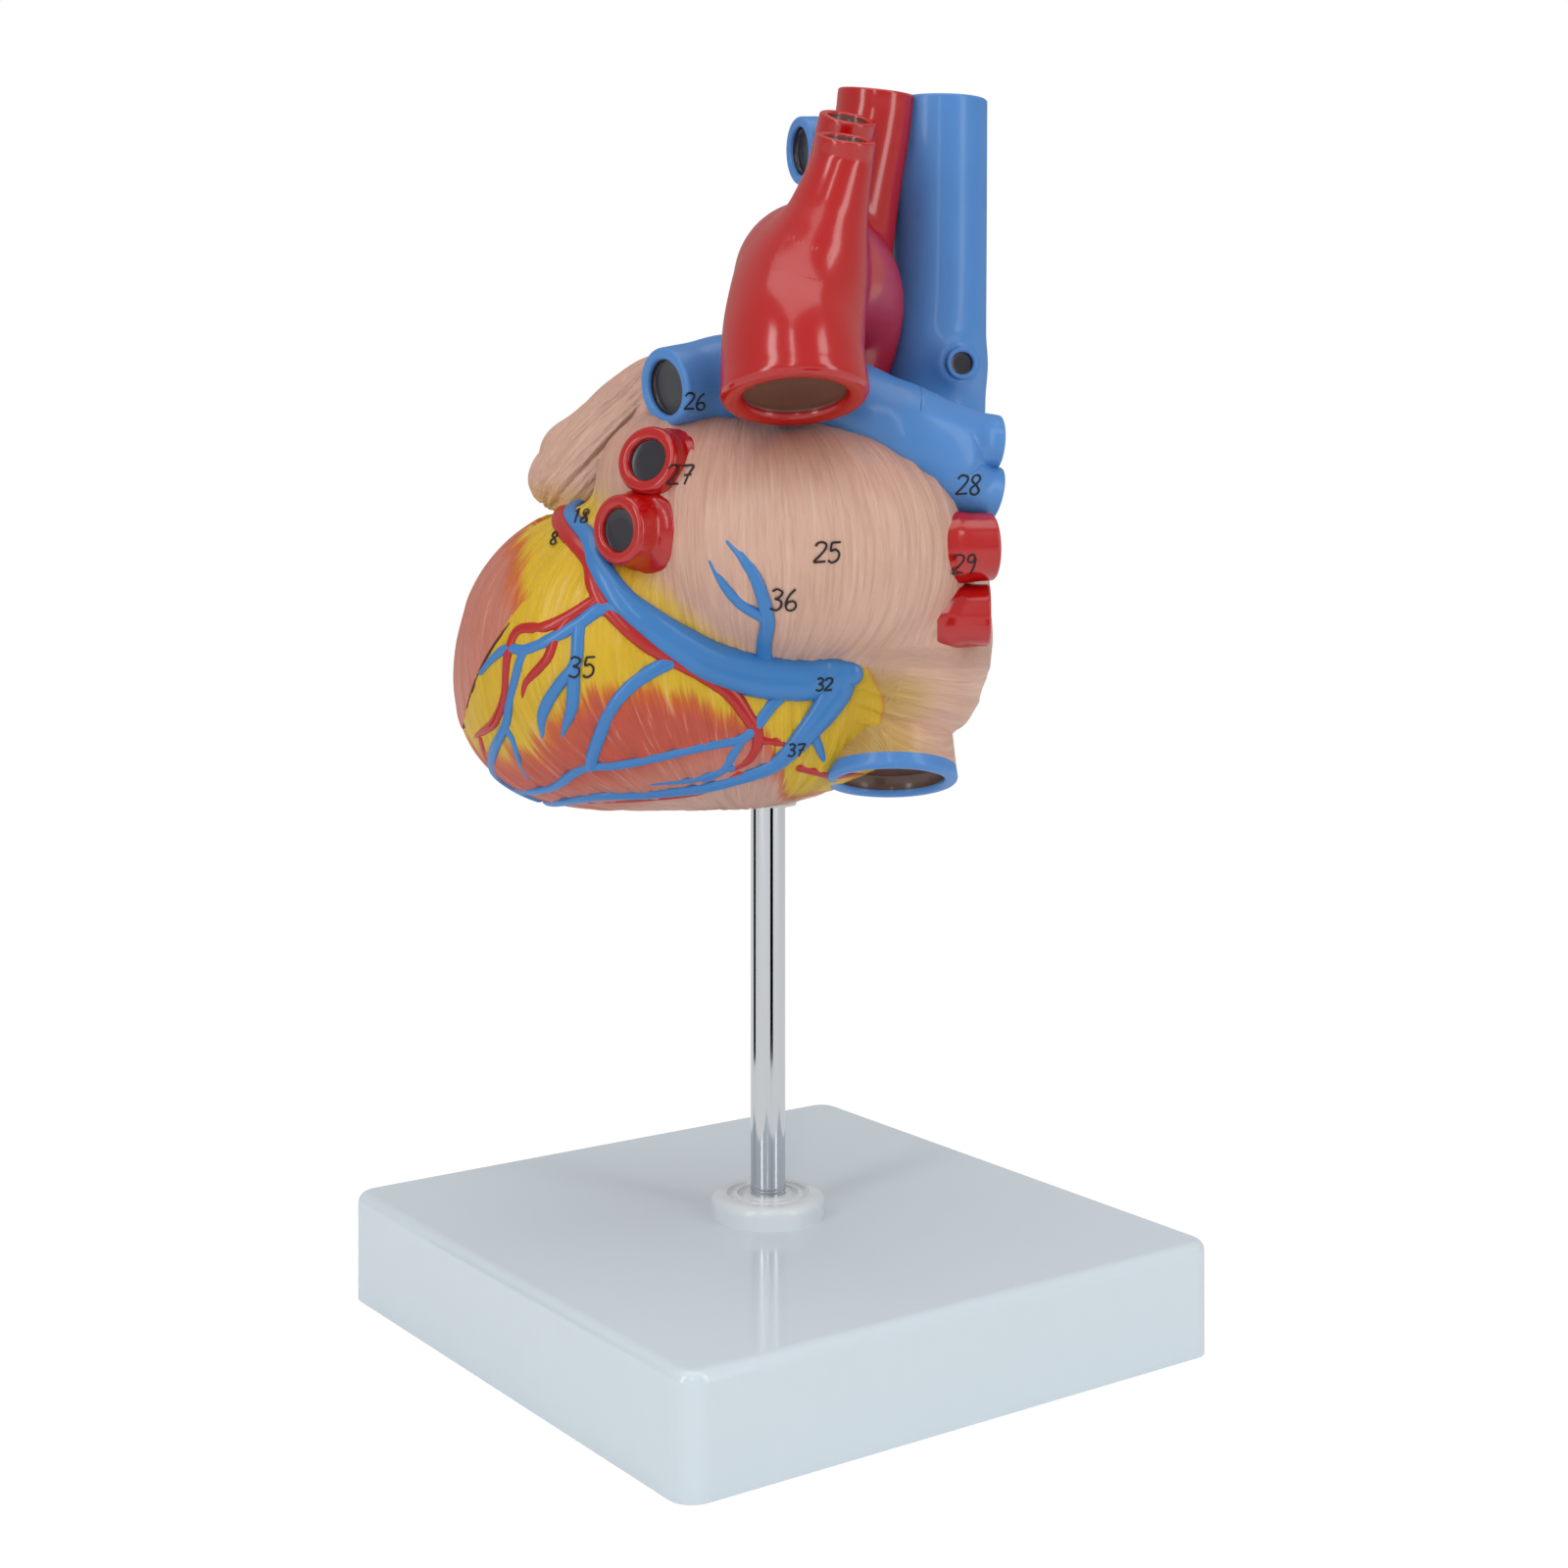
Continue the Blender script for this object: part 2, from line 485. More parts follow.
def tube_shell(stations, distance=None, most=0.0, end="soft", wall=0.34, recess=2.0, around=96,
               spacing=0.8, band=None):
    """A circle carried along the stations, swollen where it meets what it joins, with its cut end.
    Rows further than band from the cut end take the third material."""
    path = through(stations, spacing)
    turn = circle(around)
    lip = LIPS[end]
    left_over = np.linalg.norm(path[1:, :3] - path[-1, :3], axis=1)
    path = np.vstack([path[:1], path[1:][left_over > lip], path[-1:]])
    along, side, other = tube_frames(path)
    path[-1, :3] = path[-1, :3] - along[-1] * lip * 0.4
    spokes = side[:, None] * np.cos(turn)[:, None] + other[:, None] * np.sin(turn)[:, None]
    wall_points = path[:, None, :3] + spokes * path[:, None, 3:]
    reach = np.linalg.norm(path[:, :3] - path[-1, :3], axis=1)
    if distance is not None:
        fade = smooth(reach, KEPT_END, KEPT_END + BLEND_RUN)[:, None, None]
        moved = swollen(wall_points, spokes, distance, most)
        wall_points = wall_points + (moved - wall_points) * fade
    rows = ring_profile(path[-1, 3], end, wall, recess)
    ends = [path[-1, :3] + along[-1] * forward + spokes[-1] * radius for forward, radius, _ in rows]
    outside = np.zeros(len(path) - 1, int) if band is None else np.where(reach[1:] > band, 2, 0)
    bands = np.concatenate([outside, [inside for _, _, inside in rows]])
    return shell(np.concatenate([wall_points, np.array(ends)]), bands)


FLATNESS = 0.62     # height of a relief vessel as a share of its width


def relief_shell(route, rise, flatness=FLATNESS, around=16):
    """A flattened vessel half sunk in the skin, along (longitude, latitude, radius) points."""
    path = through(route, 1.0)
    radius = np.maximum(path[:, 2], 0.25)
    normals = outward(muscle_distance, skin(path[:, 0], path[:, 1]))
    centre = skin(path[:, 0], path[:, 1], radius * rise)
    along = unit(np.gradient(centre, axis=0))
    side = unit(np.cross(along, normals))
    up = np.cross(side, along)
    turn = circle(around)
    spokes = (side[:, None] * np.cos(turn)[:, None]
              + up[:, None] * (flatness * np.sin(turn))[:, None])
    wall_points = centre[:, None] + spokes * radius[:, None, None]
    first, last = (
        [centre[end] + sign * along[end] * radius[end] * math.sin(t)
         + spokes[end] * radius[end] * math.cos(t) for t in np.radians([30, 60, 80])]
        for end, sign in ((0, -1), (-1, 1)))
    return shell(np.concatenate([first[::-1], wall_points, last]))


def tube_beads(*paths):
    return np.vstack([through(path, 0.6) for path in paths])


# ---------------------------------------------------------------- paint
def linear(red, green, blue):
    """An sRGB colour out of 255 as linear light, with alpha."""
    values = np.array([red, green, blue]) / 255
    curved = ((values + 0.055) / 1.055) ** 2.4
    return tuple(np.where(values <= 0.04045, values / 12.92, curved)) + (1.0,)


BEIGE = linear(217, 174, 153)
ROSE = linear(196, 140, 120)
MUSCLE = linear(194, 76, 52)
PINK = linear(203, 122, 102)
PALE = linear(214, 168, 150)
YELLOW = linear(224, 184, 12)
ORANGE = linear(206, 96, 26)
OCHRE = linear(196, 158, 84)
RED = linear(184, 13, 11)
ARTERY = linear(186, 26, 20)
BLUE = linear(78, 140, 210)
VEIN = linear(58, 128, 196)
LUMEN = linear(46, 44, 52)
BROWN = linear(104, 72, 58)
INK = linear(30, 24, 26)
WHITE = linear(214, 226, 234)

# Latitude of the groove between atria and ventricles, and of the lower edge of the fat.
GROOVE = ((-90, 45), (-60, 58), (-30, 48), (-10, 38), (6, 35), (20, 30), (37, 25), (47, 16),
          (55, 8), (61, 3), (69, -4), (80, -12), (96, -18), (112, -20), (124, -17), (133, -12),
          (139, -22), (144, -42), (180, -52), (205, -44), (219, -30), (223, -16), (229, 2),
          (242, 14), (262, 22), (270, 45))
FAT_EDGE = ((-90, -8), (0, -24), (8, -24), (13, -25), (22, -28), (30, -27), (35, -24.5),
            (40, -20.5), (45, -17.5), (50, -15.8), (55, -15.5), (62, -17.5), (69, -21.5),
            (77, -26.5), (85, -31.5), (92, -34.5), (98, -38), (104, -44), (109, -54), (117, -64),
            (130, -66), (150, -62), (200, -46), (219, -36), (235, -16), (270, -8))
LEFT_FAT_EDGE = ((-90, -8), (-60, 2), (-36, 6), (-20, 2), (-8, 12), (6, 27), (18, 19), (26, 13),
                 (30, 8), (33, 6), (45, 0))
# The moulded joint line down the left ventricle, as (longitude, latitude); the paint changes there.
JOINT_LINE = ((27, 32.5), (37, 26), (38, 21), (35, 8), (28, -3), (14, -17), (5, -21))
JOINT_RADIUS = 0.35


LEAN = 0.05         # how far the fibres sway, in radians of longitude


def over_line(lon, lat, line):
    """Millimetres above a line of latitudes, less where the line is steep."""
    along, height = np.array(line, float).T
    before, here, after = (np.interp(lon + step, along, height) for step in (-2, 0, 2))
    slope = (after - before) / 4
    return (lat - here) / np.sqrt(1 + (slope * 0.9) ** 2) * 0.85


def on_neck(lon, lat):
    """1 on the neck of the inferior vena cava, where the fibres run round it."""
    return smooth(lon, 130, 141) * smooth(-lat, 4, 10) * smooth(-lon, -205, -175)


def leaning(lon, lat):
    """Longitude in radians, swayed with latitude so that no fibre runs quite straight."""
    return np.radians(lon) + LEAN * np.sin(np.radians(lat) * 2 + 0.4)


def grain_of(lon, lat):
    """Fibres: round the heart at full scale and slowly along it, and the other way on the neck of
    the inferior vena cava."""
    cross = on_neck(lon, lat)
    lon_r, lat_r = np.radians(lon), np.radians(lat)
    lean = leaning(lon, lat)
    down = np.stack([45 * np.cos(lean), 45 * np.sin(lean), 3.2 * lat_r], -1)
    level = np.stack([3.2 * np.cos(lon_r), 3.2 * np.sin(lon_r), 50 * lat_r], -1)
    return down + (level - down) * cross[..., None]


def fibre_relief(lon, lat, depth):
    """Bundles of fibres: two layers of stretched noise across the run of the muscle."""
    cross = on_neck(lon, lat)
    across, along = leaning(lon, lat) * 45, np.radians(lat) * 50
    down = value_noise(across / 2.1, along / 16) + 0.6 * value_noise(across / 1.2 + 40, along / 9)
    level = value_noise(along / 2.1 + 9, across / 16) + 0.6 * value_noise(along / 1.2, across / 9)
    return depth * (down * (1 - cross) + level * cross)


def mix(low, high, share):
    return np.asarray(low) * (1 - share[..., None]) + np.asarray(high) * share[..., None]


def muscle_paint(points, all_atrium=False):
    """What the muscle's paint follows: its broad colour, how far a point is inside the fat and
    above the groove, and the run of its fibres."""
    lon, lat = bearings_of(points)
    atrium = np.full(lon.shape, 20.0) if all_atrium else over_line(lon, lat, GROOVE)
    joint = np.array(JOINT_LINE[:0:-1], float)
    left_of_joint = lon < np.interp(lat, joint[:, 1], joint[:, 0])
    fat = np.where(left_of_joint, over_line(lon, lat, LEFT_FAT_EDGE), over_line(lon, lat, FAT_EDGE))
    pink = np.where(left_of_joint & (lon < 60), smooth(lon, -60, -30), 0.0)
    colour = mix(MUSCLE, PINK, np.maximum(pink, smooth(-lat, 34, 46)))
    colour = mix(colour, PALE, smooth(-lat, 46, 60) * 0.9)
    atrial = mix(BEIGE, ROSE, 0.55 * smooth(points[..., 2], 66, 84) * smooth(points[..., 1], 5, 20))
    shoulder = smooth(-atrium, -12.5, -5.0) * smooth(-lon, -104, -64) * smooth(lon, -20, 0)
    atrial = mix(atrial, YELLOW, 0.9 * shoulder)
    neck = smooth(lon, 126, 133) * smooth(-lon, -176, -160)
    atrial = mix(atrial, OCHRE, neck * smooth(-lon, -154, -139) * smooth(-lat, 8, 18))
    colour = mix(colour, atrial, smooth(atrium, -0.6, 0.6))
    return {"tint": colour.reshape(-1, 4), "fat": np.minimum(fat, 12).ravel(),
            "atrium": atrium.ravel(), "grain": grain_of(lon, lat).reshape(-1, 3),
            "seam": np.minimum(np.abs(parting_depth(points)), 3.0).ravel()}


# ---------------------------------------------------------------- shader nodes
def connect(tree, value, socket):
    """A link to a socket, or its plain value."""
    if isinstance(value, bpy.types.NodeSocket):
        tree.links.new(value, socket)
    else:
        socket.default_value = value


def add_node(tree, kind, settings=None, **inputs):
    """A node with its settings, and each input by its name (spaces as _) or as i and its number."""
    made = tree.nodes.new(kind)
    for key, value in (settings or {}).items():
        setattr(made, key, value)
    for key, value in inputs.items():
        numbered = key[0] == "i" and key[1:].isdigit()
        connect(tree, value, made.inputs[int(key[1:]) if numbered else key.replace("_", " ")])
    return made


def add_math(tree, operation, first, second=0.0):
    return add_node(tree, "ShaderNodeMath", {"operation": operation},
                    i0=first, i1=second).outputs[0]


def add_product(tree, first, second):
    return add_math(tree, "MULTIPLY", first, second)


def add_sway(tree, base, value, amount):
    """base, less or more by half the amount as a value goes from 0 to 1."""
    offset = add_math(tree, "SUBTRACT", value, 0.5)
    return add_math(tree, "ADD", base, add_product(tree, offset, amount))


def add_mix(tree, share, low, high):
    """A colour mix."""
    return add_node(tree, "ShaderNodeMix", {"data_type": "RGBA"},
                    i0=share, i6=low, i7=high).outputs[2]


def add_noise(tree, place, scale, detail, rough=0.5, **more):
    return add_node(tree, "ShaderNodeTexNoise", None, Vector=place, Scale=scale, Detail=detail,
                    Roughness=rough, **more).outputs["Fac"]


def add_ramp(tree, value, low, high):
    """0 to 1 as a value goes from low to high."""
    return add_node(tree, "ShaderNodeMapRange", {"interpolation_type": "SMOOTHSTEP"},
                    Value=value, From_Min=low, From_Max=high).outputs[0]


def new_group(name, inputs, outputs):
    """A shader node group with named sockets: (name, type, default) in, (name, type) out."""
    group = bpy.data.node_groups.new(name, "ShaderNodeTree")
    for label, kind, default in inputs:
        socket = group.interface.new_socket(name=label, in_out="INPUT", socket_type=kind)
        if default is not None:
            socket.default_value = default
    for label, kind in outputs:
        group.interface.new_socket(name=label, in_out="OUTPUT", socket_type=kind)
    return group, group.nodes.new("NodeGroupInput"), group.nodes.new("NodeGroupOutput")


def fibre_group():
    """Streaks along the fibres: stretched noise at two scales, as a value about 0 to 1."""
    group, inside, out = new_group(
        "Fibre Streaks", (("Grain", "NodeSocketVector", None), ("Scale", "NodeSocketFloat", 0.8)),
        (("Streak", "NodeSocketFloat"), ("Broad", "NodeSocketFloat")))
    scaled = add_node(group, "ShaderNodeVectorMath", {"operation": "SCALE"},
                      i0=inside.outputs["Grain"])
    group.links.new(inside.outputs["Scale"], scaled.inputs["Scale"])
    fine = add_noise(group, scaled.outputs[0], 1.0, 4.0, 0.62, Distortion=0.25)
    broad = add_noise(group, scaled.outputs[0], 0.3, 2.0)
    group.links.new(add_ramp(group, fine, 0.25, 0.75), out.inputs["Streak"])
    group.links.new(add_ramp(group, broad, 0.3, 0.7), out.inputs["Broad"])
    return group


def lacquer_group():
    """Brushed lacquer: slow mottling of colour, roughness and height from object coordinates."""
    group, inside, out = new_group(
        "Brushed Lacquer",
        (("Colour", "NodeSocketColor", None), ("Dark", "NodeSocketFloat", 0.12),
         ("Base Roughness", "NodeSocketFloat", 0.28)),
        (("Colour", "NodeSocketColor"), ("Roughness", "NodeSocketFloat"),
         ("Height", "NodeSocketFloat")))
    place = add_node(group, "ShaderNodeTexCoord").outputs["Object"]
    mottle = add_noise(group, place, 70.0, 3.0)
    ripple = add_noise(group, place, 420.0, 2.0)
    pits = add_node(group, "ShaderNodeTexVoronoi", None, Vector=place, Scale=380.0)
    speck = add_ramp(group, pits.outputs["Distance"], 0.0, 0.12)
    shade = add_math(group, "SUBTRACT", 1.04, add_product(group, mottle, inside.outputs["Dark"]))
    tinted = add_node(group, "ShaderNodeHueSaturation", None, Color=inside.outputs["Colour"],
                      Value=shade)
    rough = add_sway(group, inside.outputs["Base Roughness"], mottle, 0.16)
    height = add_math(group, "ADD", add_product(group, ripple, 0.6),
                      add_product(group, speck, 0.25))
    group.links.new(tinted.outputs[0], out.inputs["Colour"])
    group.links.new(rough, out.inputs["Roughness"])
    group.links.new(height, out.inputs["Height"])
    return group


def new_material(name, **constants):
    material = bpy.data.materials.new(name)
    material.use_nodes = True
    shader = material.node_tree.nodes["Principled BSDF"]
    for key, value in constants.items():
        shader.inputs[key.replace("_", " ")].default_value = value
    return material, material.node_tree, shader


def soften_grazing(tree, shader, coat):
    """Brushed paint shines less where it turns away from the eye."""
    facing = add_node(tree, "ShaderNodeLayerWeight", None, Blend=0.5).outputs["Facing"]
    shine = add_ramp(tree, facing, 0.92, 0.45)
    tree.links.new(add_product(tree, shine, coat), shader.inputs["Coat Weight"])
    tree.links.new(add_math(tree, "ADD", add_product(tree, shine, 0.35), 0.08),
                   shader.inputs["Specular IOR Level"])


def add_lacquer(tree, shader, colour, dark, rough):
    """The lacquer between a colour and the shader. Gives the lacquer's height."""
    finish = add_node(tree, "ShaderNodeGroup", {"node_tree": GROUPS["lacquer"]}, Colour=colour,
                      Dark=dark, Base_Roughness=rough)
    tree.links.new(finish.outputs["Colour"], shader.inputs["Base Color"])
    tree.links.new(finish.outputs["Roughness"], shader.inputs["Roughness"])
    return finish.outputs["Height"]


def add_bump(tree, shader, height, strength, distance):
    bumped = add_node(tree, "ShaderNodeBump", None, Strength=strength, Distance=distance,
                      Height=height)
    tree.links.new(bumped.outputs[0], shader.inputs["Normal"])


def lacquered(name, colour, rough, dark, coat, bump=0.12):
    """Paint with a clear coat over smooth moulded plastic; bump is in millimetres."""
    material, tree, shader = new_material(name, Coat_Roughness=0.12)
    add_bump(tree, shader, add_lacquer(tree, shader, colour, dark, rough), 0.35, bump * MM)
    soften_grazing(tree, shader, coat)
    return material


def muscle_material():
    """Painted fibres: the broad tint, yellow fat with a ragged orange edge, and lacquer."""
    material, tree, shader = new_material("painted_muscle", Coat_Roughness=0.22)
    soften_grazing(tree, shader, 0.22)
    tint, fat, atrium, grain, seam = (
        add_node(tree, "ShaderNodeAttribute", {"attribute_name": label}).outputs[kind]
        for label, kind in (("tint", "Color"), ("fat", "Fac"), ("atrium", "Fac"),
                            ("grain", "Vector"), ("seam", "Fac")))
    fibres = add_node(tree, "ShaderNodeGroup", {"node_tree": GROUPS["fibre"]}, Grain=grain,
                      Scale=1.2)
    streak, broad = fibres.outputs["Streak"], fibres.outputs["Broad"]
    ragged = add_sway(tree, add_sway(tree, fat, streak, 2.6), broad, 2.4)
    below = add_ramp(tree, atrium, 0.6, -0.6)
    yellow = add_mix(tree, add_product(tree, streak, 0.35), YELLOW, linear(196, 150, 30))
    for low, high, paint in ((-4.2, 0.4, ORANGE), (-0.8, 3.6, yellow)):
        share = add_product(tree, add_ramp(tree, ragged, low, high), below)
        tint = add_mix(tree, share, tint, paint)
    groove = add_product(tree, add_ramp(tree, streak, 0.62, 0.1), 0.32)
    tint = add_mix(tree, groove, tint, add_mix(tree, 0.5, tint, linear(120, 52, 40)))
    crest = add_product(tree, add_ramp(tree, streak, 0.72, 1.0), 0.25)
    tint = add_mix(tree, crest, tint, linear(236, 208, 190))
    dark_seam = add_product(tree, add_ramp(tree, seam, 0.75, 0.25), 0.85)
    tint = add_mix(tree, dark_seam, tint, linear(60, 28, 22))
    lacquer = add_lacquer(tree, shader, tint, 0.1, 0.36)
    height = add_math(tree, "ADD", add_product(tree, streak, 2.0), add_product(tree, lacquer, 0.12))
    add_bump(tree, shader, height, 0.55, 0.16 * MM)
    return material


def cut_face_material(name, fibre, lining_left, lining_right):
    """The parting face, mottled like cut muscle, and the linings of the hollows behind it: told
    apart by how far a point lies from the parting plane."""
    material, tree, shader = new_material(name, Coat_Weight=0.3, Coat_Roughness=0.25)
    place = add_node(tree, "ShaderNodeTexCoord").outputs["Object"]
    at, back = to_frame(PARTING_POINT), to_frame(BACKWARD) - to_frame(np.zeros(3))
    offset = add_node(tree, "ShaderNodeVectorMath", {"operation": "SUBTRACT"}, i0=place,
                      i1=tuple(at))
    depth, side = (
        add_node(tree, "ShaderNodeVectorMath", {"operation": "DOT_PRODUCT"}, i0=vector,
                 i1=direction).outputs["Value"]
        for vector, direction in ((offset.outputs[0], tuple(unit(back))),
                                  (place, (math.cos(AXIS_TURN), math.sin(AXIS_TURN), 0.0))))
    away = add_ramp(tree, add_math(tree, "ABSOLUTE", depth), 0.4 * MM, 1.2 * MM)
    is_left = add_ramp(tree, side, 16.5 * MM, 18.5 * MM)
    lining = add_mix(tree, is_left, lining_right, lining_left)
    grain = add_noise(tree, place, 240.0, 5.0, 0.6)
    flesh = add_mix(tree, add_ramp(tree, grain, 0.35, 0.65), fibre, linear(214, 150, 128))
    outer = add_node(tree, "ShaderNodeAttribute", {"attribute_name": "outer"}).outputs["Fac"]
    colour = add_mix(tree, add_ramp(tree, outer, 0.4, 0.6),
                     add_mix(tree, away, flesh, lining), BEIGE)
    add_lacquer(tree, shader, colour, 0.14, 0.4)
    add_bump(tree, shader, grain, 0.4, 0.2 * MM)
    return material


def metal_material(name, colour, rough, scratch, stretch=(1.0, 1.0, 1.0)):
    """Plated metal with fine marks along it."""
    material, tree, shader = new_material(name, Metallic=1.0)
    place = add_node(tree, "ShaderNodeTexCoord").outputs["Object"]
    turned = add_node(tree, "ShaderNodeMapping", None, Vector=place, Scale=stretch)
    marks = add_noise(tree, turned.outputs[0], 300.0, 3.0)
    duller = tuple(value * 0.92 for value in colour[:3]) + (1.0,)
    tree.links.new(add_math(tree, "ADD", rough, add_product(tree, marks, scratch)),
                   shader.inputs["Roughness"])
    tree.links.new(add_mix(tree, marks, colour, duller), shader.inputs["Base Color"])
    return material


GROUPS = {}
PAINTS = {}


def make_paints(settings):
    """Every finish of the object, by name."""
    GROUPS["fibre"], GROUPS["lacquer"] = fibre_group(), lacquer_group()
    red, blue, white = (tuple(colour) + (1.0,) for colour in
                        (settings.artery_red, settings.vein_blue, settings.stand_white))
    PAINTS["muscle"] = muscle_material()
    PAINTS["cut"] = cut_face_material("cut_muscle_face", linear(196, 104, 88),
                                      linear(206, 104, 94), linear(146, 158, 204))
    # Each lacquer's name, colour, roughness, mottling and coat, and its bump if that is its own.
    for paint, *values in (
            ("red", "red_vessel_lacquer", red, 0.22, 0.1, 0.7),
            ("blue", "blue_vessel_paint", blue, 0.4, 0.16, 0.25),
            ("relief_red", "relief_artery_paint", ARTERY, 0.3, 0.2, 0.4),
            ("relief_blue", "relief_vein_paint", VEIN, 0.36, 0.16, 0.3),
            ("lumen", "dark_lumen_paint", LUMEN, 0.25, 0.3, 0.4),
            ("brown", "brown_lumen_paint", BROWN, 0.3, 0.3, 0.4),
            ("valve", "valve_cream_paint", linear(226, 208, 176), 0.35, 0.2, 0.4),
            ("papillary", "papillary_paint", linear(196, 98, 84), 0.38, 0.24, 0.3),
            ("white", "white_moulded_plastic", white, 0.13, 0.02, 0.3, 0.04),
            ("collar", "collar_plastic", linear(224, 230, 234), 0.25, 0.04, 0.2, 0.06),
            ("bush", "bush_plastic", linear(228, 226, 218), 0.4, 0.06, 0.1),
            ("ink", "pen_ink", INK, 0.5, 0.3, 0.0),
            ("joint", "joint_shadow_paint", linear(96, 40, 34), 0.6, 0.2, 0.0)):
        PAINTS[paint] = lacquered(*values)
    for paint, *values in (
            ("chrome", "polished_rod", linear(206, 210, 214), 0.05, 0.05, (1.0, 1.0, 0.08)),
            ("steel", "zinc_steel", linear(178, 182, 188), 0.24, 0.2),
            ("magnet", "nickel_magnet", linear(196, 190, 180), 0.16, 0.1)):
        PAINTS[paint] = metal_material(*values)


# The CAD nodes that are shown as they are, by their paint.
PLAIN_NODES = {
    "white": ("base_tray",),
    "collar": ("rod_collar",),
    "chrome": ("support_rod",),
    "steel": ("rod_washer", "rod_nut"),
    "bush": ("rod_bush",),
    "valve": ("mitral_valve", "tricuspid_valve", "aortic_valve", "pulmonary_valve",
              "chordae_left", "chordae_right"),
    "papillary": ("papillary_muscles_left", "papillary_muscles_right"),
    "magnet": tuple(f"magnet_{side}_{k}" for side in ("back", "front") for k in range(1, 5)),
}


def take_paint(mesh, paint):
    mesh.materials.clear()
    mesh.materials.append(PAINTS[paint])


def build_finishes(settings):
    """All paints, and the carried-over CAD nodes in theirs."""
    make_paints(settings)
    for paint, nodes in PLAIN_NODES.items():
        for node in nodes:
            take_paint(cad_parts[node].data, paint)


# ---------------------------------------------------------------- muscle
def parting_depth(points):
    return (points - PARTING_POINT) @ BACKWARD


def in_front(points):
    """Whether points leave with the front wall: before the parting plane and clear of the root of
    the great vessels."""
    offset = points - PARTING_POINT
    right, up, back = offset @ RIGHTWARD, offset @ UPWARD, offset @ BACKWARD
    middle, low, radius = NOTCH
    round_end = (right - middle) ** 2 + (up - low) ** 2 < radius ** 2
    upper = (np.abs(right - middle) < radius) & (up > low)
    left, edge, bottom, deep = CAVAL_STEP
    step = (right > left) & (right < edge) & (up > bottom) & (back > -deep)
    return (back < -PARTING_GAP) & ~(round_end | upper | step)


# The painted skins: how many rows run from the pole to the rim, how many spokes go round, and how
# deep the underside that closes them lies.
SKIN_ROWS = 190
SKIN_SPOKES = 420
UNDERSIDE = 1.2
PROBE_STEP = math.radians(2.0)      # the step of the first search for the rim


def muscle_skin(front, depth):
    """The painted skin of one half. Directions fan out from a pole that faces away from the
    parting; each spoke ends where its surface point reaches the parting. The edge rolls in, runs a
    little way along the parting face and goes back under the skin, so the shell is closed."""
    pole = -BACKWARD if front else BACKWARD
    turn = circle(SKIN_SPOKES)
    rim = RIGHTWARD[None] * np.cos(turn)[:, None] + UPWARD[None] * np.sin(turn)[:, None]

    def rays(spread):
        return pole * np.cos(spread)[..., None] + rim * np.sin(spread)[..., None]

    def kept(spread):
        ray = rays(spread)
        points = CAST_CENTRE + ray * skin_radius(*angles(ray))[..., None]
        return in_front(points) if front else parting_depth(points) > 0

    fan = np.radians(np.arange(2.0, 170.0, 2.0))
    lost = ~kept(fan[:, None] * np.ones(SKIN_SPOKES))
    high = fan[np.argmax(lost, axis=0)]
    low = high - PROBE_STEP
    for _ in range(10):
        middle = 0.5 * (low + high)
        fits = kept(middle)
        low, high = np.where(fits, middle, low), np.where(fits, high, middle)
    # Rows lie closer together near the rim, where the edge rolls in.
    share = np.linspace(0, 1, SKIN_ROWS)
    share = 0.6 * share + 0.4 * np.sin(share * math.pi / 2)
    spread = share[1:, None] * low
    lon, lat = angles(rays(spread))
    edge = (low - spread) * 50
    relief = fibre_relief(np.where(lon < -90, lon + 360, lon), lat, depth)
    rise = 0.2 + relief * smooth(edge, 0.2, 2.0) - 0.45 * (1 - smooth(edge, 0.0, 0.9))
    outer = skin(lon, lat, rise)
    last = outer[-1]
    inward = unit(CAST_CENTRE - BACKWARD * parting_depth(CAST_CENTRE) - last)
    if front:
        on_notch = parting_depth(last) < -1.0
        inward = np.where(on_notch[:, None], BACKWARD * 0.9 + inward * 0.2, inward)
    lip = np.stack([last + inward * step for step in (0.25, 0.8, 2.4)])
    under = [skin(*angles(rays(low * part)), np.full(SKIN_SPOKES, -UNDERSIDE))
             for part in np.linspace(0.97, 0.04, 14)]
    return np.concatenate([outer, lip, np.array(under)])


# The CAD halves are drawn in by CORE_DEPTH under the painted skin, and by BARE_DEPTH where no skin
# covers them. A point less than SKIN_REACH under the solid's surface moves with it, and one less
# than PAINT_REACH under it is painted like it.
CORE_DEPTH = 1.1
BARE_DEPTH = 0.1
SKIN_REACH = 0.6
PAINT_REACH = 1.8
AHEAD_OF_PARTING = -0.4
# The dent that leaves room for the right auricle in the cone of the right ventricle: its middle,
# reach and depth. It is filled.
DENT_CENTRE = np.array((6.0, -30.0, 66.0))
DENT_REACH = 16.0
DENT_DEPTH = 3.0
NOTCH_X, NOTCH_HALF_WIDTH, NOTCH_FLOOR = -1.0, 11.0, 61.5


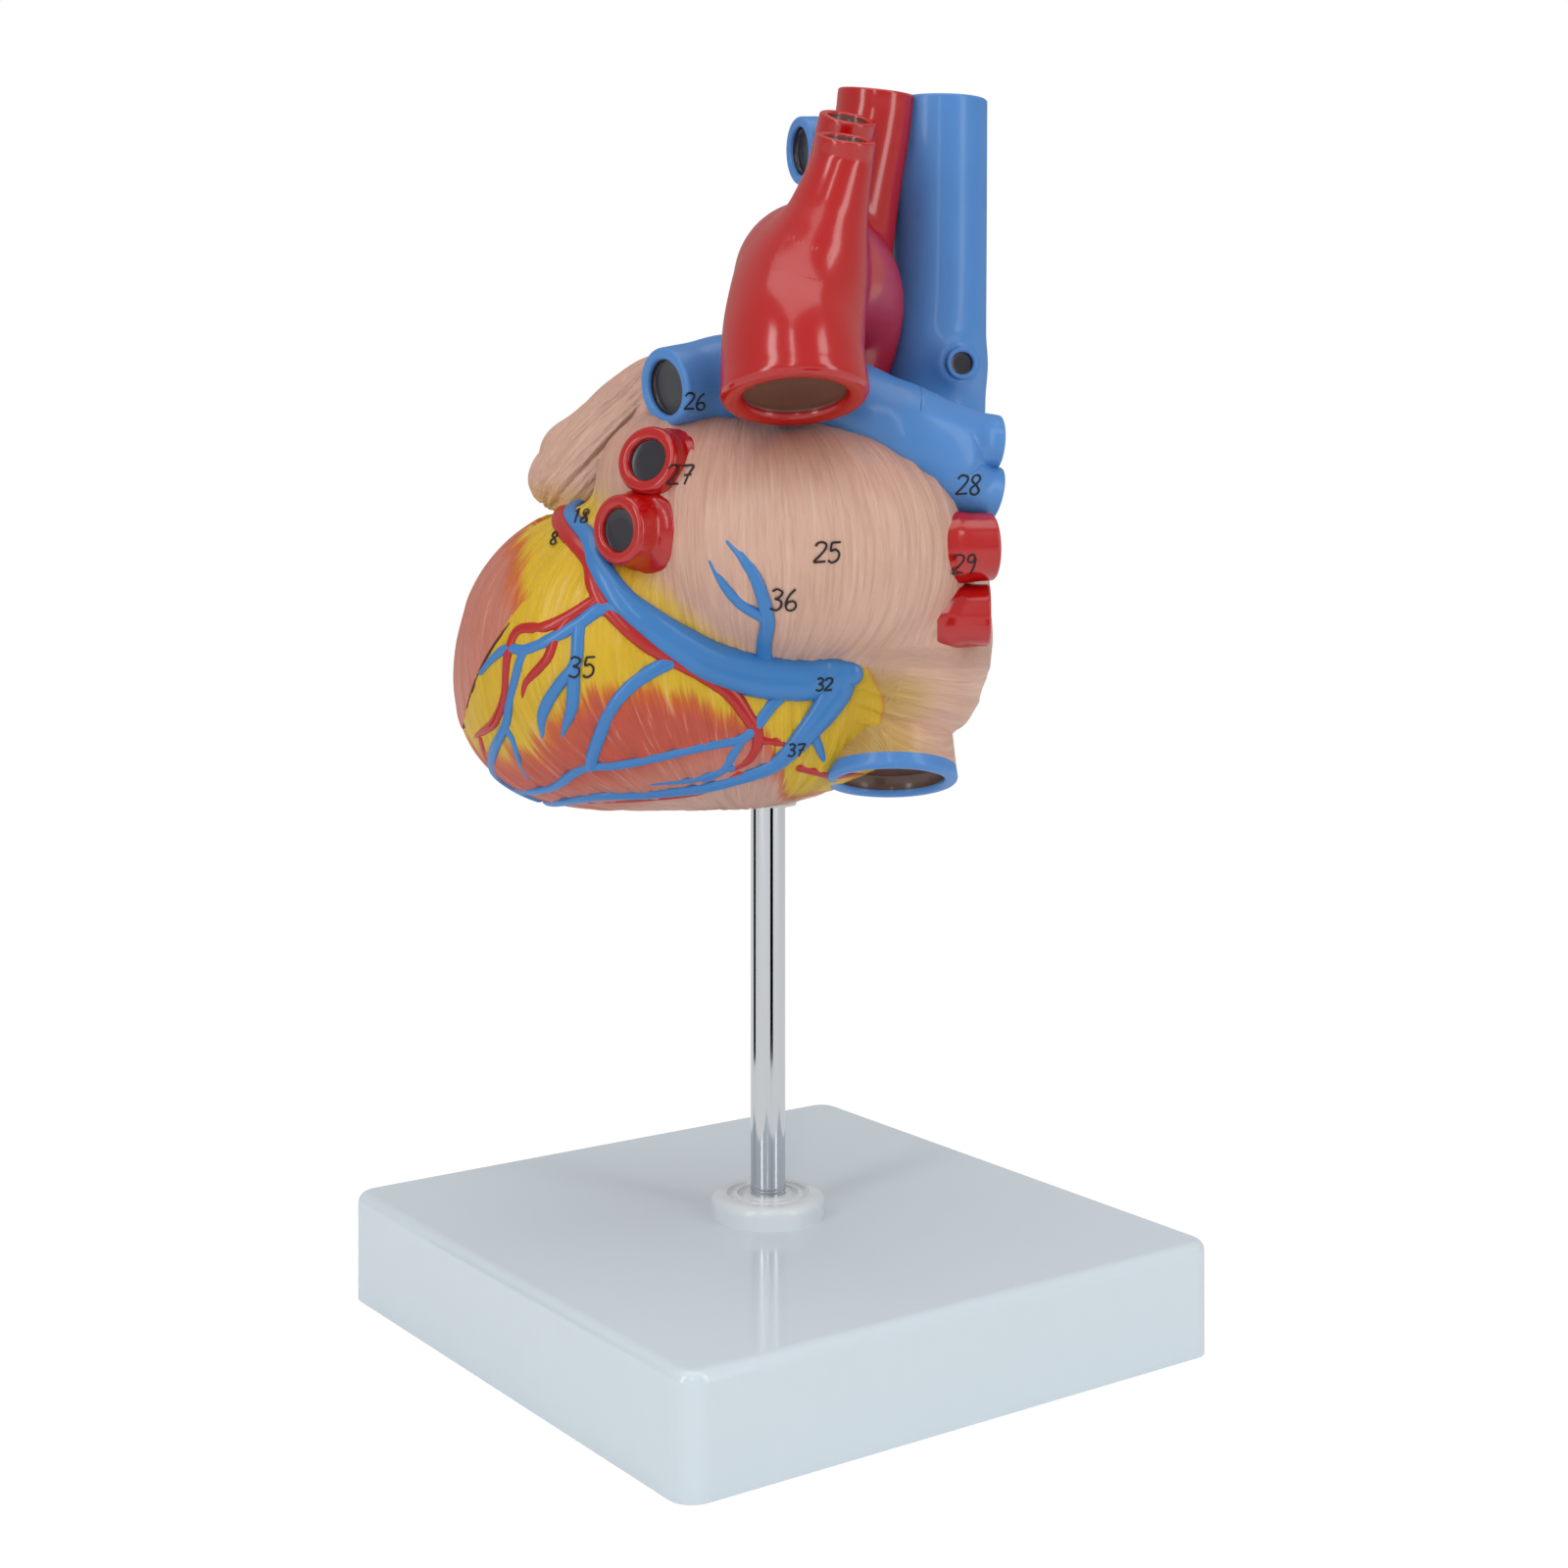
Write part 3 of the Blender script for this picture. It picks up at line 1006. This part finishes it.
def shrunk_core(node, name, body):
    """The CAD half with its outer skin drawn in under the painted one, for its parting face,
    chambers and pockets."""
    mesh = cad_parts[node].data.copy()
    mesh.name = name
    co = np.empty(len(mesh.vertices) * 3, np.float32)
    mesh.vertices.foreach_get("co", co)
    points = from_frame(co.reshape(-1, 3))
    under_solid = muscle_distance(points, SOLID_LOBES)
    ahead = parting_depth(points) < AHEAD_OF_PARTING
    dent = ((np.linalg.norm(points - DENT_CENTRE, axis=1) < DENT_REACH)
            & (under_solid > -DENT_DEPTH))
    on_skin = (under_solid > -SKIN_REACH) | (dent & ahead & (body == "heart"))
    # High up between the roots of the vessels, points ahead of the parting count as outer too.
    # The colours that show on the parting face there are not changed by this.
    notch = (np.abs(points[:, 0] - NOTCH_X) < NOTCH_HALF_WIDTH) & (points[:, 2] > NOTCH_FLOOR)
    outer = ((under_solid > -PAINT_REACH) | notch | dent) & ahead
    under = np.where(on_skin & outer & (body == "heart"), BARE_DEPTH, CORE_DEPTH)
    for _ in range(3):
        near = muscle_distance(points)
        normals = outward(muscle_distance, points)
        depth = parting_depth(points)
        # Points of the parting face slide along it.
        flat = (np.abs(depth) < 0.05) | (np.abs(depth + PARTING_GAP) < 0.05)
        along = normals - BACKWARD * (normals @ BACKWARD)[:, None]
        along = along / np.maximum((along ** 2).sum(1), 0.15)[:, None]
        draw = np.where(on_skin, near + under, np.maximum(near + under, 0.0))
        underside = (points[:, 2] < 1.0) & (near < -0.3)
        draw = np.where(underside, 0.0, draw)
        points = points - np.where(flat[:, None], along, normals) * draw[:, None]
    points[:, 2] = np.maximum(points[:, 2], 0.0)
    mesh.vertices.foreach_set("co", to_frame(points).astype(np.float32).ravel())
    layer = mesh.attributes.new("outer", "FLOAT", "POINT")
    layer.data.foreach_set("value", outer.astype(np.float32))
    take_paint(mesh, "cut")
    mesh.update()
    return place_piece(name, mesh, body, (node,))


def build_muscle(settings):
    for front, name, node, body in ((False, "heart_skin", "heart_back", "heart"),
                                    (True, "front_skin", "front_wall", "front")):
        grid = muscle_skin(front, settings.fibre_depth / MM)
        data = shell(grid)
        paint = muscle_paint(data[0])
        # Only the outer rows show the dark seam of the parting.
        paint["seam"][(SKIN_ROWS - 1) * grid.shape[1]:] = 3.0
        make_piece(name, data, ("muscle",), body, (), paint)
        shrunk_core(node, node + "_core", body)


# ---------------------------------------------------------------- vessels
RED_PATHS = (AORTA, SUBCLAVIAN, CAROTID, BRACHIOCEPHALIC)
BLUE_PATHS = (CAVA, AZYGOS, LEFT_CAVAL_BRANCH, PULMONARY_ARCH, PULMONARY_UPPER, PULMONARY_LOWER,
              PULMONARY_TRUNK)
# How softly tubes run into each other, in millimetres.
RED_BLEND, BLUE_BLEND, VEIN_BLEND, VEIN_ROOT_BLEND = 3.5, 5.0, 2.5, 3.0


def tree_distance(paths, blend, muscle_blend=0.0):
    """Each path's distance, and the muscle's if it has a blend, in one smooth minimum."""
    beads = [tube_beads(path) for path in paths]

    def distance(points):
        total = tube_distance(points, beads[0])
        for row in beads[1:]:
            total = blended(total, tube_distance(points, row), blend)
        return blended(total, muscle_distance(points), muscle_blend) if muscle_blend else total
    return distance


def build_great_vessels(settings):
    recess = settings.lumen_recess / MM
    red, blue = tree_distance(RED_PATHS, RED_BLEND), tree_distance(BLUE_PATHS, BLUE_BLEND)
    aorta = [tube_shell(AORTA, red, 2.4, "soft", 0.3, recess),
             tube_shell(SUBCLAVIAN, red, 2.4, "crisp", 0.3, recess),
             tube_shell(CAROTID, red, 2.4, "crisp", 0.3, recess),
             tube_shell(BRACHIOCEPHALIC, red, 2.4, "crisp", 0.28, recess)]
    cava = [tube_shell(CAVA, blue, 1.8, "crisp", 0.25, recess),
            tube_shell(AZYGOS, blue, 1.8, "soft", 0.3, 1.0, 48, 0.5),
            tube_shell(LEFT_CAVAL_BRANCH, blue, 1.8, "soft", 0.3, recess)]
    lungs = [tube_shell(PULMONARY_ARCH[::-1], blue, 1.8, "soft", 0.3, recess),
             tube_shell(PULMONARY_TRUNK, blue, 1.8, "round"),
             tube_shell(PULMONARY_UPPER, blue, 1.8, "crisp", 0.34, recess),
             tube_shell(PULMONARY_LOWER, blue, 1.8, "crisp", 0.34, recess)]
    for name, shells, paints, slot, node in (
            ("aorta_and_branches", aorta, ("red", "brown"), "red_vessel", "aorta"),
            ("superior_cava", cava, ("blue", "lumen"), "blue_vessel", "superior_vena_cava"),
            ("pulmonary_trunk_and_arteries", lungs, ("blue", "lumen"), "blue_vessel",
             "pulmonary_arteries")):
        make_piece(name, joined(shells), paints, "heart", (node,))


def build_veins(settings):
    recess = settings.lumen_recess / MM
    for side, end, band, most in (("left", "soft", None, 1.2),
                                  ("right", "crisp", RIGHT_VEIN_PAINT, 0.3)):
        names = [name for name in PULMONARY_VEINS if side in name]
        distance = tree_distance([PULMONARY_VEINS[name] for name in names], VEIN_BLEND,
                                 VEIN_ROOT_BLEND)
        for name in names:
            data = tube_shell(PULMONARY_VEINS[name], distance, most, end, 0.38, recess * 0.7,
                              spacing=0.5, band=band)
            make_piece(name + "_wall", data, ("red", "lumen", "muscle"), "heart",
                       (name,), muscle_paint(data[0], True))
    data = tube_shell(INFERIOR_CAVA, None, 0, "soft", 0.2, recess * 2, 120, 0.5, band=CAVAL_BAND)
    make_piece("inferior_cava_ring", data, ("blue", "brown", "muscle"), "heart",
               ("inferior_vena_cava",), muscle_paint(data[0], True))


def build_relief_vessels(settings):
    """The vessels that stand up from the muscle; arteries stand a little lower than veins."""
    for name, routes, colour, node, body in (
            ("cardiac_veins", BACK_VEINS, "blue", "cardiac_veins_back", "heart"),
            ("coronary_arteries", BACK_ARTERIES, "red", "coronary_arteries_back", "heart"),
            ("front_cardiac_veins", FRONT_VEINS, "blue", "cardiac_veins_front", "front"),
            ("front_coronary_arteries", FRONT_ARTERIES, "red", "coronary_arteries_front", "front")):
        rise, slot = {"blue": (settings.vessel_rise, "surface_vein"),
                      "red": (settings.vessel_rise * 0.75, "surface_artery")}[colour]
        data = joined([relief_shell(route, rise) for route in routes])
        make_piece(name, data, ("relief_" + colour,), body, (node,))


# ---------------------------------------------------------------- auricles
AURICLE_BLEND = 5.0


def build_auricles(settings):
    """Each auricle as one pouch round its beads, with creases that run from end to end."""
    for name, beads, node in (("left_auricle_pouch", LEFT_AURICLE, "left_auricle"),
                              ("right_auricle_pouch", RIGHT_AURICLE, "right_auricle")):
        beads = np.array(beads, float)

        def distance(points):
            total = tube_distance(points, beads[:1])
            for bead in beads[1:]:
                total = blended(total, tube_distance(points, bead[None]), AURICLE_BLEND)
            return total
        centre, start = beads[:4, :3].mean(0), beads[0, :3]
        length = unit(beads[3, :3] - start)
        lon, lat = np.meshgrid(np.linspace(0, 360, 200, endpoint=False), np.linspace(-89, 89, 130))
        ray = bearing(lon, lat)
        points = centre + ray * cast(distance, centre, ray, 45.0, 1.0)[..., None]
        normals = outward(distance, points)
        run = (points - start) @ length
        round_it = np.arctan2(ray[..., 1], ray[..., 2] + ray[..., 0])
        creases = -1.5 * (1 - np.abs(value_noise(round_it * 2.2 + 3, run / 22))) ** 4
        folds = creases + value_noise(round_it * 9, run / 12 + 7) * 0.3
        points = points + normals * (folds * settings.fibre_depth / MM * 3)[..., None]
        data = shell(points)
        flat = data[0]
        tip = smooth((flat - start) @ length, 16, 34) * smooth(-flat[:, 2], -76, -66)
        colour = mix(mix(BEIGE, ROSE, 0.35 * smooth(flat[:, 2], 84, 100)), YELLOW, 0.65 * tip)
        offset = flat - centre
        along = (offset @ length)[:, None] * length
        paint = {"tint": colour, "grain": (offset - along) * 1.1 + along * 0.12}
        paint.update((label, np.full(len(flat), value)) for label, value in
                     (("fat", -12.0), ("atrium", 9.0), ("seam", 3.0)))
        make_piece(name, data, ("muscle",), "front", (node,), paint)


# ---------------------------------------------------------------- key numbers
PEN_WIDTH = 0.24
PEN_HEIGHT = 0.12


def build_key_numbers(settings):
    """Pen strokes dropped along -b onto the first surface that they meet, and the joint line."""
    veins = tree_distance(PULMONARY_VEINS.values(), VEIN_BLEND, VEIN_ROOT_BLEND)
    red, blue = tube_beads(*RED_PATHS), tree_distance(BLUE_PATHS, BLUE_BLEND)
    runs = np.vstack([through(route, 0.8) for route in BACK_VEINS + BACK_ARTERIES])
    places = skin(runs[:, 0], runs[:, 1], runs[:, 2] * settings.vessel_rise)
    ups = outward(muscle_distance, skin(runs[:, 0], runs[:, 1]))

    def relief_distance(points):
        """How far a point is from flattened beads along the relief vessels."""
        gap = points[:, None] - places
        height = (gap * ups).sum(-1)
        level = np.maximum((gap ** 2).sum(-1) - height ** 2, 0.0)
        return ((np.sqrt(level + (height / FLATNESS) ** 2) - runs[:, 2]) * FLATNESS).min(1)

    def nearest(points):
        return np.minimum.reduce([muscle_distance(points) - 0.3, tube_distance(points, red),
                                  blue(points), veins(points), relief_distance(points)])
    shells = []
    turn = circle(8)[:, None]
    for text, a, c, height in KEY_NUMBERS:
        strokes = [(place, stroke) for place, digit in enumerate(text) for stroke in STROKES[digit]]
        for place, stroke in strokes:
            path = through([(x, y, 0) for x, y in stroke], 0.04)
            across = (place - 0.5) * 0.68 - 0.3 + path[:, 0] + 0.1 * path[:, 1]
            points = np.stack([a - across * height, np.full(len(path), 75.0),
                               c + (path[:, 1] - 0.5) * height], -1)
            for _ in range(90):
                points[:, 1] -= 0.7 * nearest(points)
            normals = outward(nearest, points)
            side = unit(np.cross(unit(np.gradient(points, axis=0)), normals))
            spokes = (side[:, None] * np.cos(turn) * PEN_WIDTH
                      + normals[:, None] * np.sin(turn) * PEN_HEIGHT)
            shells.append(shell(points[:, None] + spokes + normals[:, None] * 0.05))
    make_piece("key_numbers", joined(shells), ("ink",), "heart")
    joint = relief_shell([(lon, lat, JOINT_RADIUS) for lon, lat in JOINT_LINE], 0.2, 0.5, 8)
    make_piece("joint_line", joint, ("joint",), "heart")


# ---------------------------------------------------------------- stage
LAMP_AIM = (0.0, 0.0, 0.17)
# Each lamp's name, place, width and height, and share of the lamp power.
LAMPS = (("key_strip", (0.95, 0.25, 0.55), (0.2, 1.1), 1.0),
         ("fill_strip", (-0.35, 0.95, 0.5), (0.25, 1.1), 0.9),
         ("centre_strip", (0.62, 0.78, 0.75), (0.1, 0.9), 0.4),
         ("top_panel", (0.0, 0.1, 1.3), (1.0, 1.0), 1.3),
         ("front_panel", (-0.4, -1.1, 0.5), (1.0, 0.9), 0.9))
# The black cards' names, directions from the rod in degrees and widths.
FLAGS = (("left_flag", -41.0, 0.07), ("right_flag", 79.0, 0.085))
FLAG_DISTANCE = 0.25
FLAG_HEIGHT = 0.12
FLOOR_REACH = 6.0
FLOOR_LEVEL = -0.0002
CAMERA_PLACE = (0.3168, 0.4533, 0.1952)
CAMERA_HEADING = math.radians(144.67)
LENS = 55.35
LENS_SHIFT = -0.199


def stage_material(colour):
    """White to the camera and to reflections, with the object's shadow kept."""
    material, tree, shader = new_material("studio_floor", Base_Color=tuple(colour) + (1.0,),
                                          Roughness=0.9, Specular_IOR_Level=0.0)
    path = tree.nodes.new("ShaderNodeLightPath")
    glossy = add_product(tree, path.outputs["Is Glossy Ray"], 0.45)
    seen = add_math(tree, "MAXIMUM", path.outputs["Is Camera Ray"], glossy)
    seen = add_math(tree, "MAXIMUM", seen, path.outputs["Is Transmission Ray"])
    glow = add_node(tree, "ShaderNodeEmission", None, Color=(1.0, 1.0, 1.0, 1.0), Strength=1.04)
    mixed = add_node(tree, "ShaderNodeMixShader", None, i0=add_product(tree, seen, 0.94),
                     i1=shader.outputs[0], i2=glow.outputs[0])
    tree.links.new(mixed.outputs[0], tree.nodes["Material Output"].inputs["Surface"])
    return material


def area_light(name, place, size, power):
    """A rectangular lamp that looks at the heart, its width level."""
    light = bpy.data.lights.new(name, "AREA")
    light.shape = "RECTANGLE"
    light.size, light.size_y = size
    light.energy = power
    lamp = bpy.data.objects.new(name, light)
    away = unit(np.array(place) - np.array(LAMP_AIM))
    lamp.location = place
    tilt = math.atan2(math.hypot(away[0], away[1]), away[2])
    lamp.rotation_euler = (tilt, 0.0, math.atan2(away[0], -away[1]))
    bpy.context.scene.collection.objects.link(lamp)
    return lamp


def stage_card(name, corners, material):
    """One flat face of the studio."""
    mesh = bpy.data.meshes.new(name)
    mesh.from_pydata([tuple(corner) for corner in corners], [], [(0, 1, 2, 3)])
    mesh.materials.append(material)
    card = bpy.data.objects.new(name, mesh)
    bpy.context.scene.collection.objects.link(card)
    return card


def dark_flag(name, direction, width):
    """A low black card that only mirror-like reflections see: it draws a dark band down the rod."""
    across = np.array([-math.sin(direction), math.cos(direction), 0.0]) * width / 2
    foot = np.array([math.cos(direction), math.sin(direction), 0.0]) * FLAG_DISTANCE
    top = np.array([0.0, 0.0, FLAG_HEIGHT])
    material = new_material(name, Base_Color=(0.0, 0.0, 0.0, 1.0), Roughness=1.0,
                            Specular_IOR_Level=0.0)[0]
    card = stage_card(name, (foot - across, foot + across, foot + across + top,
                             foot - across + top), material)
    card.visible_camera = card.visible_diffuse = False
    card.visible_shadow = card.visible_transmission = False


def build_stage(settings):
    scene = bpy.context.scene
    scene.view_settings.view_transform = "Standard"
    corners = [(x * FLOOR_REACH, y * FLOOR_REACH, FLOOR_LEVEL)
               for x, y in ((-1, -1), (1, -1), (1, 1), (-1, 1))]
    stage_card("studio_floor", corners, stage_material(settings.floor_colour))

    world = bpy.data.worlds.new("studio_world")
    world.use_nodes = True
    scene.world = world
    tree = world.node_tree
    tree.nodes.clear()
    path = tree.nodes.new("ShaderNodeLightPath")
    seen = add_math(tree, "MAXIMUM", path.outputs["Is Camera Ray"],
                    path.outputs["Is Transmission Ray"])
    strength = add_math(tree, "ADD", add_product(tree, seen, 1.0 - settings.ambient),
                        settings.ambient)
    back = add_node(tree, "ShaderNodeBackground", None, Color=(1.0, 1.0, 1.0, 1.0),
                    Strength=strength)
    out = tree.nodes.new("ShaderNodeOutputWorld")
    tree.links.new(back.outputs[0], out.inputs["Surface"])

    for name, place, size, share in LAMPS:
        lamp = area_light(name, place, size, settings.lamp_power * share)
        lamp.visible_glossy = name != "front_panel"
    for name, direction, width in FLAGS:
        dark_flag(name, math.radians(direction), width)

    camera = bpy.data.cameras.new("camera")
    camera.sensor_width = 36.0
    camera.lens = LENS
    camera.shift_y = LENS_SHIFT
    eye = bpy.data.objects.new("camera", camera)
    eye.location = CAMERA_PLACE
    eye.rotation_euler = (math.pi / 2, 0.0, CAMERA_HEADING)
    scene.collection.objects.link(eye)
    scene.camera = eye


# ---------------------------------------------------------------- add-on
A_LENGTH = {"subtype": "DISTANCE", "unit": "LENGTH"}
A_COLOUR = {"min": 0.0, "max": 1.0, "size": 3, "subtype": "COLOR"}
A_SHARE = {"min": 0.0, "max": 1.0, "subtype": "FACTOR"}


class HeartSettings(bpy.types.PropertyGroup):
    """Sizes and colours of the painted heart."""
    fibre_depth: bpy.props.FloatProperty(
        name="Fibre depth", description="Height of the muscle's fibre relief",
        default=0.0003, min=0.0, max=0.001, precision=5, **A_LENGTH)
    vessel_rise: bpy.props.FloatProperty(
        name="Vessel rise",
        description="How far relief vessels stand up, as a share of their radius",
        default=0.12, **A_SHARE)
    lumen_recess: bpy.props.FloatProperty(
        name="Lumen recess", description="Depth of the dark disc in a cut vessel",
        default=0.0022, min=0.0005, max=0.01, precision=4, **A_LENGTH)
    artery_red: bpy.props.FloatVectorProperty(
        name="Artery red", description="Paint of the red great vessels",
        default=RED[:3], **A_COLOUR)
    vein_blue: bpy.props.FloatVectorProperty(
        name="Vein blue", description="Paint of the blue great vessels",
        default=BLUE[:3], **A_COLOUR)
    stand_white: bpy.props.FloatVectorProperty(
        name="Stand white", description="Moulded plastic of the base",
        default=WHITE[:3], **A_COLOUR)


class StageSettings(bpy.types.PropertyGroup):
    """The studio round the model."""
    floor_colour: bpy.props.FloatVectorProperty(
        name="Floor colour", description="Plain pale floor",
        default=(0.9, 0.9, 0.9), **A_COLOUR)
    lamp_power: bpy.props.FloatProperty(
        name="Lamp power", description="Power of the key lamp",
        default=3.0, min=0.0, max=200.0, unit="POWER")
    ambient: bpy.props.FloatProperty(
        name="Ambient light", description="Strength of the even light all round",
        default=0.42, **A_SHARE)


class HEART_OT_finishes(bpy.types.Operator):
    """Mix the paints and finish the stand's own parts"""
    bl_idname = "heart.finishes"
    bl_label = "Paints and Stand"

    def execute(self, context):
        build_finishes(context.scene.heart_settings)
        return {"FINISHED"}


class HEART_OT_muscle(bpy.types.Operator):
    """Build the painted muscle of the heart and of its front wall"""
    bl_idname = "heart.muscle"
    bl_label = "Muscle"

    def execute(self, context):
        build_muscle(context.scene.heart_settings)
        return {"FINISHED"}


class HEART_OT_great_vessels(bpy.types.Operator):
    """Build the aorta, the superior vena cava and the pulmonary arteries"""
    bl_idname = "heart.great_vessels"
    bl_label = "Great Vessels"

    def execute(self, context):
        build_great_vessels(context.scene.heart_settings)
        return {"FINISHED"}


class HEART_OT_veins(bpy.types.Operator):
    """Build the pulmonary veins and the ring of the inferior vena cava"""
    bl_idname = "heart.veins"
    bl_label = "Veins"

    def execute(self, context):
        build_veins(context.scene.heart_settings)
        return {"FINISHED"}


class HEART_OT_relief_vessels(bpy.types.Operator):
    """Build the coronary arteries and cardiac veins that stand up from the muscle"""
    bl_idname = "heart.relief_vessels"
    bl_label = "Relief Vessels"

    def execute(self, context):
        build_relief_vessels(context.scene.heart_settings)
        return {"FINISHED"}


class HEART_OT_auricles(bpy.types.Operator):
    """Build both auricles"""
    bl_idname = "heart.auricles"
    bl_label = "Auricles"

    def execute(self, context):
        build_auricles(context.scene.heart_settings)
        return {"FINISHED"}


class HEART_OT_key_numbers(bpy.types.Operator):
    """Write the key numbers of the parts with a pen"""
    bl_idname = "heart.key_numbers"
    bl_label = "Key Numbers"

    def execute(self, context):
        build_key_numbers(context.scene.heart_settings)
        return {"FINISHED"}


class HEART_OT_stage(bpy.types.Operator):
    """Set the floor, the lamps, the world and the camera"""
    bl_idname = "heart.stage"
    bl_label = "Stage"

    def execute(self, context):
        build_stage(context.scene.stage_settings)
        return {"FINISHED"}


BUILDERS = (HEART_OT_finishes, HEART_OT_muscle, HEART_OT_great_vessels, HEART_OT_veins,
            HEART_OT_relief_vessels, HEART_OT_auricles, HEART_OT_key_numbers, HEART_OT_stage)


class HEART_PT_panel(bpy.types.Panel):
    """Heart model tools"""
    bl_idname = "HEART_PT_panel"
    bl_label = "Heart Model"
    bl_space_type = "VIEW_3D"
    bl_region_type = "UI"
    bl_category = "Heart"

    def draw(self, context):
        for settings in (context.scene.heart_settings, context.scene.stage_settings):
            for key in settings.bl_rna.properties.keys():
                if key not in ("rna_type", "name"):
                    self.layout.prop(settings, key)
        for builder in BUILDERS:
            self.layout.operator(builder.bl_idname)


CLASSES = (HeartSettings, StageSettings) + BUILDERS + (HEART_PT_panel,)


def register():
    for item in CLASSES:
        bpy.utils.register_class(item)
    bpy.types.Scene.heart_settings = bpy.props.PointerProperty(type=HeartSettings)
    bpy.types.Scene.stage_settings = bpy.props.PointerProperty(type=StageSettings)


def unregister():
    del bpy.types.Scene.stage_settings
    del bpy.types.Scene.heart_settings
    for item in reversed(CLASSES):
        bpy.utils.unregister_class(item)


def main():
    register()
    for builder in BUILDERS:
        group, action = builder.bl_idname.split(".")
        getattr(getattr(bpy.ops, group), action)()


if __name__ == "__main__":
    main()
